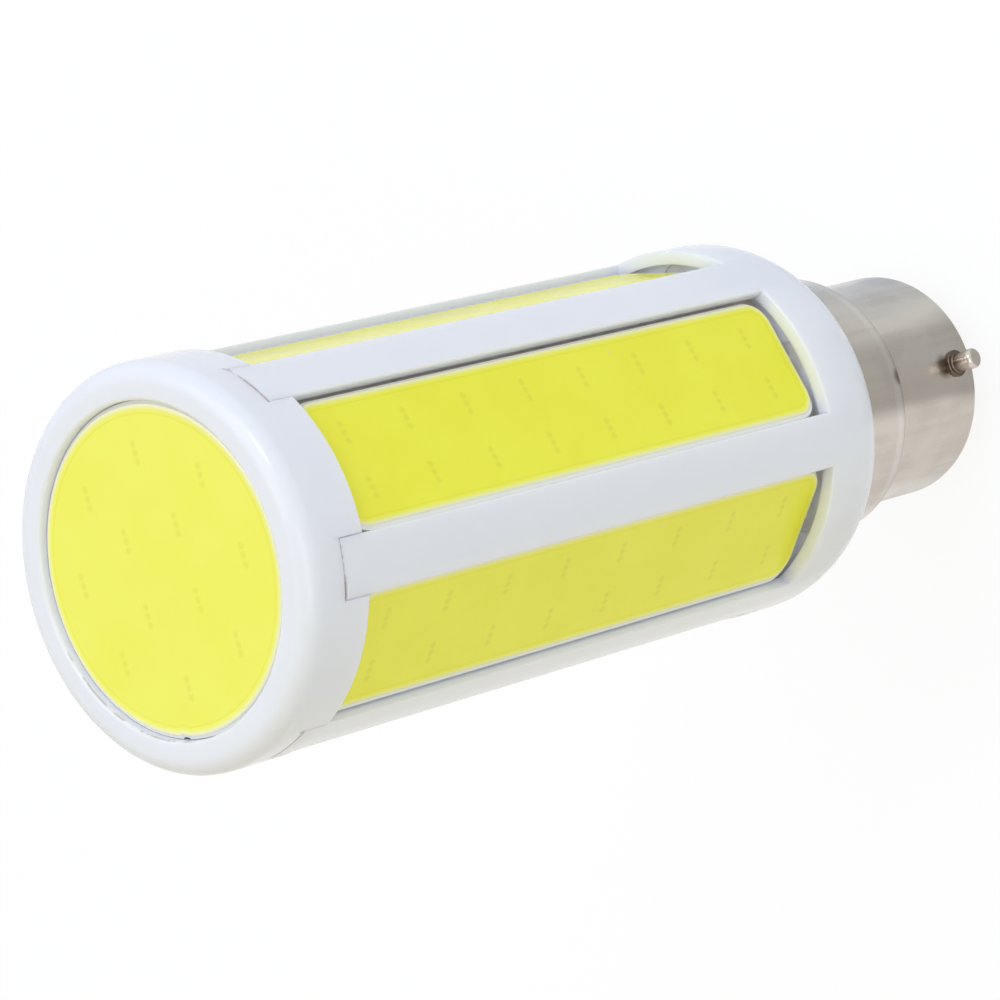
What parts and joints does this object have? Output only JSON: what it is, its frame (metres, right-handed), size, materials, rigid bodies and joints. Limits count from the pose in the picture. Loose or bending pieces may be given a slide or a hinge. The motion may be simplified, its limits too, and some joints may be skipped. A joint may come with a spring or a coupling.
{
  "type": "corn led bulb",
  "caption": "LED corn bulb: a ribbed white tube with flat yellow light panels on its sides and a round one on its end, on a bayonet cap.",
  "frame": {"origin": "on the axis, in the plane where the two cap contacts meet the lamp holder", "axes": "+Z along the axis from the cap to the round end light, X through the two bayonet pins"},
  "size_m": [0.0356, 0.0356, 0.1044],
  "materials": {
    "white_plastic": "satin white moulding",
    "heat_sink": "plain extruded aluminium",
    "light_board": "white solder mask on aluminium",
    "side_phosphor": "lemon yellow silicone",
    "end_phosphor": "lemon yellow silicone",
    "led_chip": "small dies under the coat",
    "nickel_shell": "satin nickel plate on brass",
    "nickel_pin": "polished nickel plate",
    "insulator": "black moulded insulator",
    "contact": "brass with solder",
    "driver_board": "green laminate",
    "capacitor": "black sleeve",
    "inductor": "ferrite and winding",
    "rectifier": "black package",
    "fuse_resistor": "coated ceramic body",
    "wire": "white insulation",
    "seal": "white silicone"
  },
  "bodies": {
    "root": {"front_ring": "white_plastic", "rib_cage": "white_plastic", "heat_sink": "heat_sink", "side_board_1": "light_board", "side_phosphor_1": "side_phosphor", "side_chips_1": "led_chip", "side_board_2": "light_board", "side_phosphor_2": "side_phosphor", "side_chips_2": "led_chip", "side_board_3": "light_board", "side_phosphor_3": "side_phosphor", "side_chips_3": "led_chip", "side_board_4": "light_board", "side_phosphor_4": "side_phosphor", "side_chips_4": "led_chip", "side_board_5": "light_board", "side_phosphor_5": "side_phosphor", "side_chips_5": "led_chip", "side_board_6": "light_board", "side_phosphor_6": "side_phosphor", "side_chips_6": "led_chip", "end_board": "light_board", "end_phosphor": "end_phosphor", "end_chips": "led_chip", "cap_shell": "nickel_shell", "bayonet_pin_1": "nickel_pin", "bayonet_pin_2": "nickel_pin", "cap_insulator": "insulator", "cap_contact_1": "contact", "cap_contact_2": "contact", "driver_board": "driver_board", "capacitor": "capacitor", "inductor": "inductor", "rectifier": "rectifier", "fuse_resistor": "fuse_resistor", "mains_lead_1": "wire", "mains_lead_2": "wire", "board_harness": "wire", "end_board_lead": "wire", "wire_seals": "seal"}
  },
  "joints": []
}
